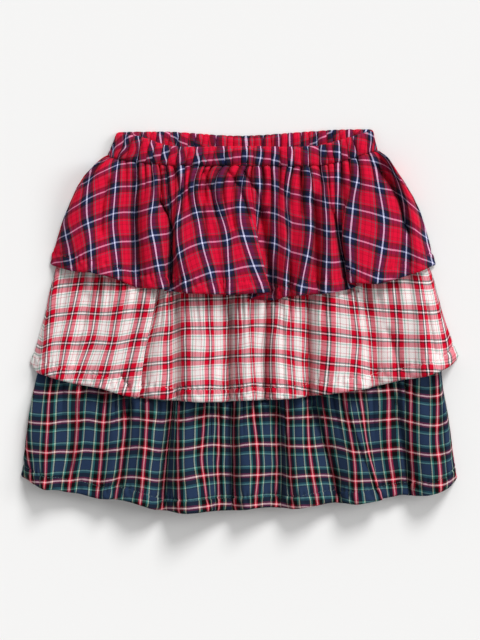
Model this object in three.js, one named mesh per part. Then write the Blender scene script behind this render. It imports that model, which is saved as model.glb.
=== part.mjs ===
// A girl's pull-on skirt of three gathered plaid tiers with an elastic waist, laid flat on its back.
// Millimetres. X runs across the skirt, Y towards the waist, and Z = 0 is the surface that it lies on.
import * as THREE from "three";

// Cloth and the spaces between pieces
const WALL = 1.2; // a tier's cloth with the fluff of its brushed face
const GAP = 0.3; // between pieces that touch or are sewn together
const SEAM_GAP = 0.45; // the same along the curved waist seam, measured in Y
const FLAT_Z = WALL / 2; // middle of a wall that lies on the surface
const SECOND_Z = FLAT_Z + WALL + GAP; // middle of a wall that lies on such a wall
const THIRD_Z = SECOND_Z + WALL + GAP;

// Waistband: a casing turned over a 19 mm elastic
const CASING_THICK = 3; // in its middle, where the elastic lies
const CASING_EDGE = 1.8; // at its top fold and at its stitch line
const CASING_DEPTH = 21;
const GATHERS = 31; // on the front, and again on the back
const CASING_WAVE = 0.7; // how far a gather moves the casing's wall up or down
const MOUTH_SIDE_Z = CASING_THICK + GAP + CASING_THICK / 2; // the front casing at the side seams
const MOUTH_RISE = 6.2; // and how much higher it lies at the middle

// Folds
const GATHER_DEEP = 1.5; // a gather's wave, up and down, just below the waistband
const GATHER_END = 0.62; // the share of the top tier's depth by which the gathers have run out
const GATHER_ROLL = 14; // width beside a side seam in which they fade
const BACK_GATHER = 1.1; // the same wave on the back, which is pressed to the surface
const SHOULDER = 1.5; // how fast the top tier leaves the waistband, as a power of the way down
const WAIST_BLEND = 0.2; // the share of the way down that leads from the waistband's height
const PUFF = [7.4, 10, 5, 0]; // lift of the top tier at its four levels, over its folds' own height
const STRIP_Z = 9; // a lower tier's hidden top strip, away from the sides
const STRIP_ROLL = 30; // width beside a side seam in which that strip comes down
const SIDE_INSET = 1; // a back panel ends this far inside its front panel

// The waistband's lines from left to right, each a place across with its four Y values
const WAIST = table(["x", "frontTop", "frontSeam", "backTop"], [
  [-126, 178.6, 156.0, 179.5],
  [-95, 174.8, 150.3, 179.6],
  [-65, 165.8, 147.7, 179.5],
  [0, 165.8, 147.3, 175.8],
  [71, 165.8, 147.3, 180.2],
  [95, 171.7, 151.0, 181.6],
  [131, 182.4, 162.4, 182.4],
]);
const CASING_SIDES = { topLeft: -118.3, seamLeft: -125.9, topRight: 127.1, seamRight: 131.1 };

// Fold tables of the front panels. A row is a warp line or a fold: its place in the cloth in
// repeats of the plaid, 28 mm each, its X at the tier's top, one third and two thirds down and at the hem, the hem's Y
// there, and the height of the hem over the surface.
const FOLD = ["cloth", "x0", "x1", "x2", "x3", "hemY", "height"];
const TOP_FOLDS = table(FOLD, [
  [-0.75, -125.9, -149.6, -167.2, -180.5, 54.2, 2.1],
  [-0.5, -125.1, -148.0, -166.0, -176.3, 52.3, 7],
  [0, -123.5, -144.0, -160.0, -159.6, 47.5, 15],
  [1, -120.5, -136.0, -142.5, -139.7, 45.6, 22],
  [2, -115.4, -117.8, -120.0, -115.0, 39.0, 20],
  [3, -98.8, -98.5, -99.8, -98.8, 32.3, 15.5],
  [3.5, -90.3, -89.3, -91.2, -84.6, 30.9, 21],
  [4, -82.7, -80.8, -83.6, -72.2, 29.9, 23],
  [4.25, -79.8, -77.4, -75.5, -67.5, 29.5, 20],
  [4.6, -76.0, -73.2, -70.2, -71.5, 28.5, 15],
  [5, -70.8, -68.1, -65.6, -66.0, 28.5, 13.5],
  [5.4, -65.6, -63.7, -62.7, -59.9, 27.6, 19],
  [6, -56.4, -55.8, -59.3, -49.9, 26.3, 27],
  [7, -39.9, -44.7, -37.0, -22.8, 25.3, 29],
  [7.5, -27.0, -33.7, -24.2, -15.2, 24.9, 26],
  [8, -14.3, -23.2, -12.5, -8.9, 24.7, 28],
  [9, 5.7, 1.0, 3.0, 22.5, 27.0, 26.5],
  [9.35, 10.3, 8.0, 16.0, 28.3, 27.2, 22.5],
  [9.9, 16.2, 16.6, 14.5, 13.5, 22.8, 17.5],
  [10.3, 21.9, 22.8, 16.5, 10.5, 20.9, 13.8],
  [11, 32.7, 33.3, 33.0, 31.4, 20.0, 15],
  [12, 48.5, 44.7, 46.1, 42.8, 22.8, 22],
  [12.4, 53.7, 51.3, 50.4, 48.0, 23.8, 17.5],
  [13, 64.1, 66.3, 66.9, 57.0, 24.2, 23],
  [13.45, 70.3, 72.7, 73.2, 68.4, 25.1, 18.5],
  [14, 77.9, 80.1, 82.2, 80.8, 26.0, 23],
  [14.5, 85.5, 86.5, 89.0, 92.2, 27.7, 20],
  [15, 93.6, 92.8, 93.6, 104.5, 31.0, 14.5],
  [15.35, 98.8, 99.3, 99.8, 110.6, 33.4, 16],
  [15.75, 104.5, 105.9, 97.6, 102.6, 36.0, 22],
  [16, 108.3, 111.0, 104.5, 106.0, 36.3, 24.5],
  [16.5, 116.4, 120.0, 121.0, 116.9, 35.6, 26],
  [17, 123.5, 130.2, 136.3, 130.2, 35.2, 25],
  [17.5, 126.8, 138.2, 146.3, 143.5, 38.5, 21],
  [18, 128.3, 144.4, 155.3, 157.7, 42.8, 17.5],
  [18.5, 129.4, 147.4, 163.0, 171.0, 47.0, 17],
  [19, 130.3, 149.8, 169.5, 182.4, 52.3, 7],
  [19.12, 131.1, 151.1, 172.0, 186.2, 53.2, 2.1],
]);
const MIDDLE_FOLDS = table(FOLD, [
  [0.53, -163.4, -177.6, -186.7, -199.5, -40.9, 2.1],
  [0.75, -162.5, -176.4, -184.3, -193.3, -48.5, 9],
  [1, -160.6, -174.3, -181.2, -186.2, -51.3, 14],
  [2, -146.3, -153.4, -162.9, -171.0, -56.0, 20],
  [3, -130.2, -134.4, -141.6, -154.9, -59.9, 17],
  [4, -111.2, -114.0, -120.7, -133.0, -63.7, 22],
  [5, -87.4, -91.7, -100.7, -110.2, -70.3, 25],
  [5.45, -80.5, -81.5, -90.0, -96.4, -72.5, 23],
  [5.75, -77.5, -80.0, -91.5, -101.0, -73.2, 17.5],
  [6, -75.0, -78.5, -89.5, -97.0, -72.7, 14.8],
  [6.6, -69.4, -72.0, -77.0, -80.9, -73.7, 20],
  [7, -65.6, -67.1, -67.5, -68.4, -75.0, 20.5],
  [7.5, -59.9, -59.9, -59.9, -59.9, -75.4, 16.5],
  [8, -53.2, -52.8, -51.9, -51.3, -76.0, 23],
  [8.5, -41.8, -40.9, -39.4, -39.9, -76.6, 27],
  [9, -31.4, -29.5, -27.6, -29.5, -76.6, 26],
  [10, -13.3, -12.4, -13.3, -14.3, -76.5, 20],
  [10.4, -8.6, -8.6, -9.0, -9.0, -76.0, 16.5],
  [11, -1.0, -2.4, -1.4, 0.0, -75.4, 23],
  [11.6, 5.7, 6.7, 7.1, 9.5, -75.0, 25],
  [12, 9.5, 9.0, 10.5, 13.8, -75.0, 21],
  [12.5, 20.0, 20.9, 18.0, 19.0, -74.8, 19.5],
  [12.8, 24.7, 26.6, 24.2, 24.2, -74.7, 16.5],
  [13, 31.4, 33.3, 29.5, 29.5, -74.6, 21],
  [13.5, 39.0, 40.9, 38.5, 39.9, -74.1, 25],
  [14, 47.5, 48.1, 48.5, 50.4, -73.4, 24],
  [15, 60.8, 61.8, 61.3, 61.8, -71.9, 20],
  [15.3, 66.0, 66.5, 66.5, 66.5, -71.1, 16.5],
  [15.65, 73.2, 73.2, 73.2, 72.2, -70.3, 21],
  [16, 83.6, 84.6, 84.6, 79.8, -69.7, 25],
  [16.5, 95.0, 96.9, 98.3, 95.0, -67.8, 27],
  [17, 104.5, 106.9, 111.2, 108.3, -65.8, 26],
  [17.5, 112.1, 114.0, 118.3, 120.7, -64.0, 21.5],
  [18, 119.7, 119.7, 124.5, 127.3, -62.3, 16.5],
  [18.5, 130.2, 133.0, 136.8, 138.7, -59.5, 19],
  [19, 140.6, 146.3, 149.6, 151.0, -56.4, 17],
  [19.5, 150.1, 158.7, 162.5, 164.4, -54.2, 22],
  [20, 158.0, 169.6, 174.8, 177.7, -51.8, 22],
  [21, 164.0, 180.4, 191.0, 198.6, -43.2, 11],
  [21.35, 165.3, 182.4, 193.3, 208.0, -34.2, 2.1],
]);
const BOTTOM_FOLDS = table(FOLD, [
  [-0.42, -180.5, -194.8, -202.4, -208.0, -148.2, 2.1],
  [-0.1, -179.6, -193.3, -200.9, -199.5, -152.5, 12],
  [1, -172.9, -180.0, -183.4, -185.3, -159.6, 24],
  [1.5, -161.5, -166.7, -170.1, -173.9, -160.2, 20],
  [2, -149.2, -153.3, -155.8, -162.5, -162.5, 12],
  [2.4, -139.7, -143.0, -146.3, -153.0, -163.8, 10.2],
  [3, -125.4, -127.5, -131.1, -135.9, -168.2, 17],
  [3.6, -115.0, -117.0, -118.5, -125.5, -168.8, 20.5],
  [4, -109.3, -110.2, -111.4, -118.2, -169.1, 18.5],
  [4.5, -96.9, -98.3, -100.2, -106.4, -171.0, 22],
  [5, -85.5, -87.4, -90.3, -94.0, -174.4, 25],
  [5.5, -73.2, -74.6, -78.9, -82.7, -178.4, 20],
  [6, -63.7, -65.6, -70.3, -74.1, -179.6, 11.5],
  [6.3, -61.3, -63.2, -67.9, -69.4, -180.0, 11],
  [7, -56.0, -58.0, -58.9, -57.0, -181.9, 26],
  [7.4, -47.5, -49.4, -50.4, -47.5, -181.9, 30],
  [8, -31.4, -33.7, -35.6, -30.4, -180.5, 24],
  [9, -20.4, -20.4, -20.4, -20.9, -179.9, 17],
  [9.5, -10.5, -10.5, -10.5, -9.5, -179.7, 10.2],
  [10, -5.7, -5.7, -5.7, -3.8, -179.6, 16],
  [10.4, 1.0, 1.4, 1.9, 4.8, -178.6, 24],
  [11, 11.4, 12.4, 16.2, 15.2, -177.3, 23],
  [11.6, 25.7, 26.6, 27.6, 26.6, -176.7, 17],
  [12, 34.2, 34.2, 34.2, 33.7, -176.9, 10.8],
  [12.4, 38.0, 39.0, 40.4, 40.9, -177.2, 11],
  [13, 42.8, 44.7, 47.5, 51.3, -178.0, 21],
  [13.4, 51.3, 53.2, 55.1, 59.9, -176.9, 24.5],
  [14, 63.7, 64.6, 66.5, 73.2, -174.8, 21],
  [14.5, 68.9, 71.3, 77.0, 83.6, -172.9, 12.5],
  [15, 74.1, 78.4, 85.5, 92.2, -172.3, 11],
  [15.5, 85.5, 89.3, 96.9, 100.7, -172.9, 19],
  [16, 95.0, 99.3, 107.4, 110.2, -173.7, 24],
  [16.5, 103.6, 107.4, 115.9, 123.5, -171.7, 23],
  [17, 112.1, 115.0, 121.6, 134.9, -169.5, 19],
  [17.3, 117.8, 120.7, 125.4, 133.5, -169.1, 13],
  [18, 138.7, 140.6, 142.5, 147.3, -166.3, 12],
  [18.25, 144.4, 147.3, 150.6, 153.9, -165.2, 10.5],
  [19, 160.6, 162.5, 162.9, 164.8, -165.7, 16],
  [19.5, 172.9, 175.8, 175.3, 177.7, -165.3, 22],
  [20, 183.4, 187.2, 187.2, 190.0, -162.0, 22],
  [20.5, 188.1, 191.0, 196.7, 199.5, -157.2, 13],
  [21.05, 191.0, 192.9, 200.0, 206.6, -150.1, 2.1],
]);

// Each tier: its folds, the Y of its top edge at the middle and how much higher that edge runs
// at a given distance out, how its waves grow on the way down, and the widest mesh step of its
// front in cloth and in width at the top, with the steps from top to hem.
const TOP = { folds: TOP_FOLDS, grow: 1.15, step: 0.34, wide: 2.3, rows: 8 };
const MIDDLE = { folds: MIDDLE_FOLDS, topY: 64.6, rise: 21.9, out: 165, grow: 1.35, step: 0.26, wide: 8, rows: 5 };
const BOTTOM = { folds: BOTTOM_FOLDS, topY: -35.2, rise: 26.6, out: 185, grow: 1.35, step: 0.26, wide: 8, rows: 6 };

// The back panels' hems are plain curves: their half width, their Y at the sides and how far the
// middle hangs lower
const BACK_HEM = {
  top: { half: 183, sideY: 54.5, drop: 24 },
  middle: { half: 203, sideY: -37, drop: 34 },
  bottom: { half: 207, sideY: -147, drop: 26 },
};
const HEM_ROUND = 2.5; // power of those curves
const BACK_STEPS = 2 * GATHERS; // mesh steps across a back panel that has gathers
const PLAIN_STEPS = 18; // and across one that lies flat
const CASING_STEPS = 4 * GATHERS;

function table(columns, rows) {
  return rows.map((row) => Object.fromEntries(columns.map((name, i) => [name, row[i]])));
}

function mix(a, b, share) {
  return a + (b - a) * share;
}

function smooth(share) {
  const t = Math.min(1, Math.max(0, share));
  return t * t * (3 - 2 * t);
}

function hermite(a, b, slopeA, slopeB, t) {
  const s = 1 - t;
  return a * (1 + 2 * t) * s * s + b * (3 - 2 * t) * t * t + slopeA * t * s * s - slopeB * t * t * s;
}

// A table's column, read smoothly between its rows
function readTable(rows, along, column, at) {
  let i = 0;
  while (i < rows.length - 2 && at > rows[i + 1][along]) i += 1;
  const slope = (j) => {
    const [p, q] = [rows[Math.max(0, j - 1)], rows[Math.min(rows.length - 1, j + 1)]];
    return (q[column] - p[column]) / (q[along] - p[along]);
  };
  const [a, b] = [rows[i], rows[i + 1]];
  const wide = b[along] - a[along];
  return hermite(a[column], b[column], slope(i) * wide, slope(i + 1) * wide, (at - a[along]) / wide);
}

// A smooth way through values at four even levels, from 0 at the top to 1 at the hem
function readLevels(levels, down) {
  const i = Math.min(2, Math.floor(down * 3));
  const [a, b] = [levels[i], levels[i + 1]];
  const slopeA = i > 0 ? (b - levels[i - 1]) / 2 : b - a;
  const slopeB = i < 2 ? (levels[i + 2] - a) / 2 : b - a;
  return hermite(a, b, slopeA, slopeB, down * 3 - i);
}

// Height of the front casing's middle, an arch that leaves the waist a little open
function mouthHeight(x) {
  return MOUTH_SIDE_Z + MOUTH_RISE * (1 - Math.min(1, Math.abs(x) / 128) ** 4);
}

// A gather's wave, from -1 to 1, at a share of the way across, a little uneven as sewn gathers are
function gatherWave(share) {
  const at = share * GATHERS + 0.16 * Math.sin(share * 37) + 0.11 * Math.sin(share * 83 + 1);
  return Math.cos(2 * Math.PI * at);
}

function waistShare(x) {
  return (x - CASING_SIDES.seamLeft) / (CASING_SIDES.seamRight - CASING_SIDES.seamLeft);
}

function frontX(folds, cloth, down) {
  return readLevels(["x0", "x1", "x2", "x3"].map((name) => readTable(folds, "cloth", name, cloth)), down);
}

// The middle of the top tier's front wall at a place in its cloth and a share of the way down
function topFront(cloth, down) {
  const folds = TOP.folds;
  const waistX = readTable(folds, "cloth", "x0", cloth);
  const seamY = readTable(WAIST, "x", "frontSeam", waistX) - SEAM_GAP;
  const hemY = readTable(folds, "cloth", "hemY", cloth);
  const height = readTable(folds, "cloth", "height", cloth);
  const away = smooth((height - SECOND_Z) / 11);
  const fromSide = Math.min(waistX - CASING_SIDES.seamLeft, CASING_SIDES.seamRight - waistX);
  const gather = GATHER_DEEP * (1 - smooth(down / GATHER_END)) * smooth(fromSide / GATHER_ROLL);
  const folded = SECOND_Z + (height - SECOND_Z) * down ** TOP.grow + away * readLevels(PUFF, down);
  const z = mix(mouthHeight(waistX), folded, smooth(down / WAIST_BLEND));
  return new THREE.Vector3(
    frontX(folds, cloth, down),
    mix(seamY, hemY, down ** SHOULDER),
    z + gather * gatherWave(waistShare(waistX)),
  );
}

// The same for a lower tier, which starts as a low strip under the tier above
function lowerFront(tier, cloth, down) {
  const folds = tier.folds;
  const topX = readTable(folds, "cloth", "x0", cloth);
  const topY = tier.topY + tier.rise * (topX / tier.out) ** 2;
  const fromSide = Math.min(topX - folds[0].x0, folds[folds.length - 1].x0 - topX);
  const stripZ = mix(THIRD_Z, STRIP_Z, smooth(fromSide / STRIP_ROLL));
  const height = readTable(folds, "cloth", "height", cloth);
  return new THREE.Vector3(
    frontX(folds, cloth, down),
    mix(topY, readTable(folds, "cloth", "hemY", cloth), down),
    mix(stripZ, height, down ** tier.grow),
  );
}

// Places across a front panel, so that every row of its table has a column of the mesh
function columnsOf(tier) {
  const columns = [];
  tier.folds.slice(1).forEach((row, i) => {
    const from = tier.folds[i];
    const steps = Math.ceil(Math.max((row.cloth - from.cloth) / tier.step, (row.x0 - from.x0) / tier.wide));
    for (let k = 0; k < steps; k += 1) columns.push(mix(from.cloth, row.cloth, k / steps));
  });
  columns.push(tier.folds[tier.folds.length - 1].cloth);
  return columns;
}

function gridOf(columns, rows, place) {
  const downs = Array.from({ length: rows + 1 }, (_, j) => j / rows);
  return columns.map((column) => downs.map((down) => place(column, down)));
}

// Outward direction of the wall at a grid point, from its neighbours on the grid. A panel's top
// edge is cut square to the panel above it.
function facing(grid, i, j) {
  const [left, right] = [grid[Math.max(0, i - 1)][j], grid[Math.min(grid.length - 1, i + 1)][j]];
  const column = grid[i];
  const [above, below] = [column[Math.max(0, j - 1)], column[Math.min(column.length - 1, j + 1)]];
  const out = right.clone().sub(left).cross(above.clone().sub(below));
  if (j === 0) out.y = 0;
  return out.normalize();
}

// Closes two grids of points into one wall: a face side, a lining side and the rim between them
function closeWall(upper, lower) {
  const [wide, deep] = [upper.length, upper[0].length];
  const positions = [...upper.flat(), ...lower.flat()].flatMap((p) => [p.x, p.y, p.z]);
  const index = [];
  const up = (i, j) => i * deep + j;
  const low = (i, j) => wide * deep + i * deep + j;
  const quad = (a, b, c, d) => index.push(a, b, c, a, c, d);
  for (let i = 0; i < wide - 1; i += 1) {
    for (let j = 0; j < deep - 1; j += 1) {
      quad(up(i, j), up(i, j + 1), up(i + 1, j + 1), up(i + 1, j));
      quad(low(i, j), low(i + 1, j), low(i + 1, j + 1), low(i, j + 1));
    }
    quad(up(i, 0), up(i + 1, 0), low(i + 1, 0), low(i, 0));
    quad(up(i, deep - 1), low(i, deep - 1), low(i + 1, deep - 1), up(i + 1, deep - 1));
  }
  for (let j = 0; j < deep - 1; j += 1) {
    quad(up(0, j), low(0, j), low(0, j + 1), up(0, j + 1));
    quad(up(wide - 1, j), up(wide - 1, j + 1), low(wide - 1, j + 1), low(wide - 1, j));
  }
  const geometry = new THREE.BufferGeometry();
  geometry.setAttribute("position", new THREE.Float32BufferAttribute(positions, 3));
  geometry.setIndex(index);
  geometry.computeVertexNormals();
  return geometry;
}

function frontWall(tier, place) {
  const grid = gridOf(columnsOf(tier), tier.rows, place);
  const moved = (side) =>
    grid.map((column, i) => column.map((p, j) => p.clone().addScaledVector(facing(grid, i, j), side * WALL / 2)));
  return closeWall(moved(1), moved(-1));
}

// A back panel lies on the surface as level lines from side to side. A line has the share of the
// way down at which its ends meet the front's side edges, its Y at each X, and the height of the
// wall's middle at a share of the way across.
function backWall(folds, steps, lines) {
  const edge = (row, line, inset) => readLevels([row.x0, row.x1, row.x2, row.x3], line.side) + inset;
  const grid = Array.from({ length: steps + 1 }, (_, i) =>
    lines.map((line) => {
      const left = edge(folds[0], line, SIDE_INSET);
      const right = edge(folds[folds.length - 1], line, -SIDE_INSET);
      const x = mix(left, right, i / steps);
      return new THREE.Vector3(x, line.y(x), line.z(i / steps));
    }));
  const moved = (side) => grid.map((column) => column.map((p) => new THREE.Vector3(p.x, p.y, p.z + side * WALL / 2)));
  return closeWall(moved(1), moved(-1));
}

function backHem(name, x) {
  const { half, sideY, drop } = BACK_HEM[name];
  return sideY - drop * (1 - Math.min(1, Math.abs(x) / half) ** HEM_ROUND);
}

function topBack() {
  const levels = [0, 0.12, 0.3, 0.6, 1];
  const seam = (x) => waistLine("backTop")(x) - CASING_DEPTH - SEAM_GAP;
  const lines = levels.map((down) => ({
    side: down,
    y: (x) => mix(seam(x), backHem("top", x), down ** SHOULDER),
    z: (share) => {
      const away = smooth(10 * Math.min(share, 1 - share));
      const wave = BACK_GATHER * (1 - smooth(down / GATHER_END)) * away;
      return FLAT_Z + wave * (1 + Math.cos(2 * Math.PI * share * GATHERS));
    },
  }));
  return backWall(TOP.folds, BACK_STEPS, lines);
}

function lowerBack(tier, above, own) {
  const level = (side, y, z) => ({ side, y, z: () => z });
  const stepEnd = (x) => backHem(above, x) - 5;
  return backWall(tier.folds, PLAIN_STEPS, [
    level(0, (x) => tier.topY + tier.rise * (x / tier.out) ** 2, SECOND_Z),
    level(0.26, (x) => backHem(above, x) - 1, SECOND_Z),
    level(0.3, stepEnd, FLAT_Z),
    level(0.66, (x) => mix(stepEnd(x), backHem(own, x), 0.52), FLAT_Z),
    level(1, (x) => backHem(own, x), FLAT_Z),
  ]);
}

// The casing's wall, thicker over the elastic, from its top fold to its stitch line
function casing(topY, seamY, middleZ) {
  const levels = [
    { down: 0, thick: CASING_EDGE },
    { down: 0.5, thick: CASING_THICK },
    { down: 1, thick: CASING_EDGE },
  ];
  const side = (up) => Array.from({ length: CASING_STEPS + 1 }, (_, i) => {
    const share = i / CASING_STEPS;
    return levels.map(({ down, thick }) => {
      const left = mix(CASING_SIDES.topLeft, CASING_SIDES.seamLeft, down);
      const right = mix(CASING_SIDES.topRight, CASING_SIDES.seamRight, down);
      const x = mix(left, right, share);
      return new THREE.Vector3(x, mix(topY(x), seamY(x), down), middleZ(x, share) + up * thick / 2);
    });
  });
  return closeWall(side(1), side(-1));
}

function waistLine(column) {
  return (x) => readTable(WAIST, "x", column, Math.min(131, Math.max(-126, x)));
}

function casingWave(share) {
  return CASING_WAVE * gatherWave(share) * smooth(8 * Math.min(share, 1 - share));
}

function waistbandFront() {
  const height = (x, share) => mouthHeight(x) + casingWave(share);
  return casing(waistLine("frontTop"), waistLine("frontSeam"), height);
}

function waistbandBack() {
  const top = waistLine("backTop");
  const height = (x, share) => CASING_THICK / 2 + Math.max(0, casingWave(share));
  return casing(top, (x) => top(x) - CASING_DEPTH, height);
}

function cloth(color) {
  return new THREE.MeshStandardMaterial({ color, roughness: 0.95, metalness: 0, side: THREE.DoubleSide });
}

function piece(name, geometry, color) {
  const mesh = new THREE.Mesh(geometry, cloth(color));
  mesh.name = name;
  return mesh;
}

const RED_PLAID = "#a3183a";
const WHITE_PLAID = "#d9a9a8";
const NAVY_PLAID = "#2e3f50";

const skirt = new THREE.Group();
skirt.add(
  piece("waistband_front", waistbandFront(), RED_PLAID),
  piece("waistband_back", waistbandBack(), RED_PLAID),
  piece("top_tier_front", frontWall(TOP, topFront), RED_PLAID),
  piece("top_tier_back", topBack(), RED_PLAID),
  piece("middle_tier_front", frontWall(MIDDLE, (c, down) => lowerFront(MIDDLE, c, down)), WHITE_PLAID),
  piece("middle_tier_back", lowerBack(MIDDLE, "top", "middle"), WHITE_PLAID),
  piece("bottom_tier_front", frontWall(BOTTOM, (c, down) => lowerFront(BOTTOM, c, down)), NAVY_PLAID),
  piece("bottom_tier_back", lowerBack(BOTTOM, "middle", "bottom"), NAVY_PLAID),
);

export default skirt;
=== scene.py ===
"""A girl's pull-on skirt of three gathered plaid tiers, laid flat and seen from straight above."""
import math

import bmesh
import bpy
import numpy as np
from mathutils import Matrix, Vector, noise


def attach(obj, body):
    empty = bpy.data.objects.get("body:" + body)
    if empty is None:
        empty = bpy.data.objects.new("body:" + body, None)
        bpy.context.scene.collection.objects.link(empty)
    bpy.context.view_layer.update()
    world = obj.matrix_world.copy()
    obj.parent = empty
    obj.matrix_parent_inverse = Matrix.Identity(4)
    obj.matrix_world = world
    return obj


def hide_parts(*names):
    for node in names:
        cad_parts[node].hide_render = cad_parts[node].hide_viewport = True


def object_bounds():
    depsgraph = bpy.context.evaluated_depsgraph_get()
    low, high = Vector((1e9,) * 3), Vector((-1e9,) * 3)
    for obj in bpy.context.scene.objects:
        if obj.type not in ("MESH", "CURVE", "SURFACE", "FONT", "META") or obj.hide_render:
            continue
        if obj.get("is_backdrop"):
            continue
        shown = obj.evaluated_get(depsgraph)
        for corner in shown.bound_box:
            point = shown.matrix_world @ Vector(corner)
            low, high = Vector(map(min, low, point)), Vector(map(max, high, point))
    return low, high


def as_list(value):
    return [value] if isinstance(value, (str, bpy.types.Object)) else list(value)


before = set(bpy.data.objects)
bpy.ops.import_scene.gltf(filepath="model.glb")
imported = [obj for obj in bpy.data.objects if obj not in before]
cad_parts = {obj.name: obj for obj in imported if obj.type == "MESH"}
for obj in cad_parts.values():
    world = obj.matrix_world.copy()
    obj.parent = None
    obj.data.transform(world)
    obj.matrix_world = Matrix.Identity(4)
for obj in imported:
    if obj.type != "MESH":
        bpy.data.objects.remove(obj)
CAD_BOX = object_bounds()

bl_info = {
    "name": "Tiered ruffle skirt",
    "version": (1, 0, 0),
    "blender": (4, 5, 0),
    "location": "View3D > Sidebar > Skirt",
    "description": "Makes a skirt of three gathered plaid tiers with an elastic waist, laid flat",
    "category": "Add Mesh",
}

MM = 0.001
TAU = 2 * math.pi

# Heights of the cloth's layers where they lie on each other, as in the solids, in millimetres
WALL = 1.2
GAP = 0.3
FLAT_Z = WALL / 2
SECOND_Z = FLAT_Z + WALL + GAP
THIRD_Z = SECOND_Z + WALL + GAP
STRIP_Z = 9  # a lower tier's hidden top strip, away from the sides
STRIP_ROLL = 30  # width beside a side seam in which that strip comes down
LAYER_ROOM = 1.3  # from a tier's lowest points down to the middle of the next tier's cloth

# Waistband, in millimetres
CASING_THICK = 3.0
CASING_DEPTH = 21.0
MOUTH_SIDE_Z = CASING_THICK + GAP + CASING_THICK / 2
MOUTH_RISE = 6.2
MOUTH_HALF = 128
BACK_CASING_Z = CASING_THICK / 2 + 0.25
GATHERS = 34
CASING_FADE = 22  # width beside the casing's ends in which its gathers run out
CASING_BULGE = 1.0  # how far a gather leans over the valleys beside it
CASING_HOLLOW = 0.9  # how far a valley between the gathers sinks in at most
CORNER = 4.0  # radius of the casing's upper corners
SEAM_GAP = 0.1
TOP_LEFT, SEAM_LEFT, TOP_RIGHT, SEAM_RIGHT = -118.3, -125.9, 127.1, 131.1

# The waistband's lines: X, the front's top, the front's stitch line and the back's top
WAIST = [
    (-126, 178.6, 156.0, 179.5),
    (-95, 174.8, 150.3, 179.6),
    (-65, 165.8, 147.7, 179.5),
    (0, 165.8, 147.3, 175.8),
    (71, 165.8, 147.3, 180.2),
    (95, 171.7, 151.0, 181.6),
    (131, 182.4, 162.4, 182.4),
]
WAIST_X, FRONT_TOP, FRONT_SEAM, BACK_TOP = range(4)

# Folds of the front panels. A row is a warp line or a fold: its place in the cloth in repeats of
# the plaid, its X at the tier's top, one and two thirds down and at the hem, the hem's Y there and
# the hem's height over the surface
CLOTH, X0, X1, X2, X3, HEM_Y, HEIGHT = range(7)
TOP_FOLDS = [
    (-0.75, -125.9, -149.6, -167.2, -180.5, 54.2, 2.1),
    (-0.5, -125.1, -148.0, -166.0, -176.3, 52.3, 7),
    (0, -123.5, -144.0, -160.0, -159.6, 47.5, 17),
    (1, -120.5, -136.0, -142.5, -139.7, 45.6, 24),
    (2, -115.4, -117.8, -120.0, -115.0, 39.0, 20),
    (3, -98.8, -98.5, -99.8, -98.8, 32.3, 14),
    (3.5, -90.3, -89.3, -91.2, -84.6, 30.9, 21),
    (4, -82.7, -80.8, -83.6, -72.2, 29.9, 23),
    (4.25, -79.8, -77.4, -75.5, -67.5, 29.5, 20),
    (4.6, -76.0, -73.2, -70.2, -71.5, 28.5, 17),
    (5, -70.8, -68.1, -65.6, -66.0, 28.5, 16.5),
    (5.4, -65.6, -63.7, -62.7, -59.9, 27.6, 19),
    (6, -56.4, -55.8, -59.3, -49.9, 26.3, 27),
    (7, -39.9, -44.7, -37.0, -22.8, 25.3, 29),
    (7.5, -27.0, -33.7, -24.2, -15.2, 24.9, 26),
    (8, -14.3, -23.2, -12.5, -8.9, 24.7, 28),
    (9, 5.7, 1.0, 3.0, 22.5, 27.0, 26.5),
    (9.35, 10.3, 8.0, 16.0, 28.3, 27.2, 22.5),
    (9.9, 16.2, 16.6, 14.5, 13.5, 22.8, 17.5),
    (10.3, 21.9, 22.8, 16.5, 10.5, 20.9, 13.8),
    (11, 32.7, 33.3, 33.0, 31.4, 20.0, 15),
    (12, 48.5, 44.7, 46.1, 42.8, 22.8, 22),
    (12.4, 53.7, 51.3, 50.4, 48.0, 23.8, 17.5),
    (13, 64.1, 66.3, 66.9, 57.0, 24.2, 23),
    (13.45, 70.3, 72.7, 73.2, 68.4, 25.1, 18.5),
    (14, 77.9, 80.1, 82.2, 80.8, 26.0, 23),
    (14.5, 85.5, 86.5, 89.0, 92.2, 27.7, 20),
    (15, 93.6, 92.8, 93.6, 104.5, 31.0, 14.5),
    (15.35, 98.8, 99.3, 99.8, 110.6, 33.4, 16),
    (15.75, 104.5, 105.9, 97.6, 102.6, 36.0, 22),
    (16, 108.3, 111.0, 104.5, 106.0, 36.3, 24.5),
    (16.5, 116.4, 120.0, 121.0, 116.9, 35.6, 26),
    (17, 123.5, 130.2, 136.3, 130.2, 35.2, 25),
    (17.5, 126.8, 138.2, 146.3, 143.5, 38.5, 21),
    (18, 128.3, 144.4, 155.3, 157.7, 42.8, 17.5),
    (18.5, 129.4, 147.4, 163.0, 171.0, 47.0, 17),
    (19, 130.3, 149.8, 169.5, 182.4, 52.3, 7),
    (19.12, 131.1, 151.1, 172.0, 186.2, 53.2, 2.1),
]
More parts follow.
